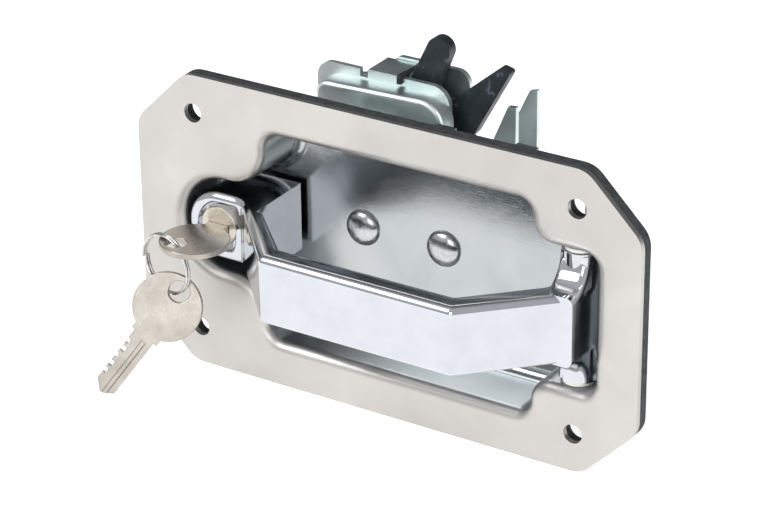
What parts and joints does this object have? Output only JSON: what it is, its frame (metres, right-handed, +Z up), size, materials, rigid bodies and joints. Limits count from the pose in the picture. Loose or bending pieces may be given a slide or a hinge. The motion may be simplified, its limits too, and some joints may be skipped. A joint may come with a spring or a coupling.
{
  "type": "folding_handle_rotary_latch",
  "caption": "Flush recessed stainless folding-handle rotary latch with keyed cylinder, two keys on a split ring and a zinc rear slam latch, for truck bodies and toolboxes",
  "frame": {"origin": "centre of the four panel screws on the front face of the plate", "axes": "X along the plate to the hinge end, Y into the panel away from the viewer, Z up"},
  "size_m": [0.192, 0.1072, 0.114],
  "materials": {
    "stainless": "satin face, polished dish",
    "gasket_foam": "closed-cell foam",
    "handle_chrome": "bright chrome plating",
    "pin_steel": "turned, plain",
    "clip_steel": "spring steel",
    "washer_nylon": "natural nylon",
    "finger_steel": "zinc plated",
    "plug_nickel": "satin nickel plating",
    "wafer_brass": "stamped, plain",
    "cam_zinc": "zinc plated",
    "cam_screw_zinc": "zinc plated",
    "key_nickel": "nickel plated",
    "ring_nickel": "nickel plated wire",
    "spare_nickel": "nickel plated",
    "rivet_stainless": "polished stainless",
    "bracket_zinc": "zinc plated",
    "cover_zinc": "zinc plated",
    "front_plate_zinc": "zinc plated",
    "back_plate_zinc": "zinc plated",
    "rotor_black": "black coated",
    "rotor_pin_zinc": "zinc plated",
    "rotor_spring_wire": "spring wire",
    "pawl_spring_wire": "spring wire",
    "plate_rivet_zinc": "zinc plated",
    "screw_zinc": "zinc plated",
    "bumper_rubber": "moulded",
    "pawl_shaft_steel": "zinc plated",
    "crank_zinc": "zinc plated",
    "dog_steel": "hardened, oiled",
    "link_zinc": "zinc plated",
    "guide_stainless": "plain stainless"
  },
  "bodies": {
    "root": {"dish_plate": "stainless", "panel_gasket": "gasket_foam", "hinge_pin": "pin_steel", "hinge_clips": "clip_steel", "hinge_washers": "washer_nylon", "dome_rivets": "rivet_stainless", "mount_bracket": "bracket_zinc", "link_guides": "guide_stainless", "actuator_cover": "cover_zinc", "latch_front_plate": "front_plate_zinc", "latch_back_plate": "back_plate_zinc", "rotor_pin": "rotor_pin_zinc", "rotor_spring": "rotor_spring_wire", "pawl_spring": "pawl_spring_wire", "plate_rivets": "plate_rivet_zinc", "cover_screws": "screw_zinc", "rotor_bumper": "bumper_rubber"},
    "handle": {"handle": "handle_chrome", "cam_finger": "finger_steel"},
    "plug": {"lock_plug": "plug_nickel", "lock_wafers": "wafer_brass", "lock_cam": "cam_zinc", "cam_screw": "cam_screw_zinc", "key_inserted": "key_nickel"},
    "ring": {"key_ring": "ring_nickel"},
    "spare": {"key_spare": "spare_nickel"},
    "link": {"link_bar": "link_zinc"},
    "pawl": {"pawl_shaft": "pawl_shaft_steel", "pawl_crank": "crank_zinc", "pawl_dog": "dog_steel"},
    "rotor": {"rotor": "rotor_black"}
  },
  "joints": [
    {"name": "handle_swing", "type": "hinge", "parent": "root", "child": "handle", "pos_m": [0.0705, 0.008, 0], "axis": [0, 0, 1], "range_deg": [0, 30]},
    {"name": "plug_turn", "type": "hinge", "parent": "handle", "child": "plug", "pos_m": [-0.0646, 0, 0], "axis": [0, 1, 0], "range_deg": [0, 90]},
    {"name": "ring_swing", "type": "hinge", "parent": "plug", "child": "ring", "pos_m": [-0.0733, -0.0178, 0], "axis": [0.9755, -0.2201, 0], "range_deg": [-15, 15]},
    {"name": "spare_swing", "type": "hinge", "parent": "ring", "child": "spare", "pos_m": [-0.0679, -0.0185, -0.0173], "axis": [0.4119, -0.8569, 0.31], "range_deg": [-30, 30]},
    {"name": "link_slide", "type": "slide", "parent": "root", "child": "link", "axis": [-1, 0, 0], "range_m": [0, 0.01333]},
    {"name": "pawl_turn", "type": "hinge", "parent": "root", "child": "pawl", "pos_m": [-0.039, 0.045, 0.024], "axis": [0, -1, 0], "range_deg": [0, 14]},
    {"name": "rotor_turn", "type": "hinge", "parent": "root", "child": "rotor", "pos_m": [-0.012, 0.058, 0.026], "axis": [0, 1, 0], "range_deg": [0, 42]}
  ],
  "couplings": [
    {"joint": "link_slide", "follows": "handle_swing", "m_per_rad": 0.025466},
    {"joint": "pawl_turn", "follows": "handle_swing", "ratio": 0.46667}
  ]
}
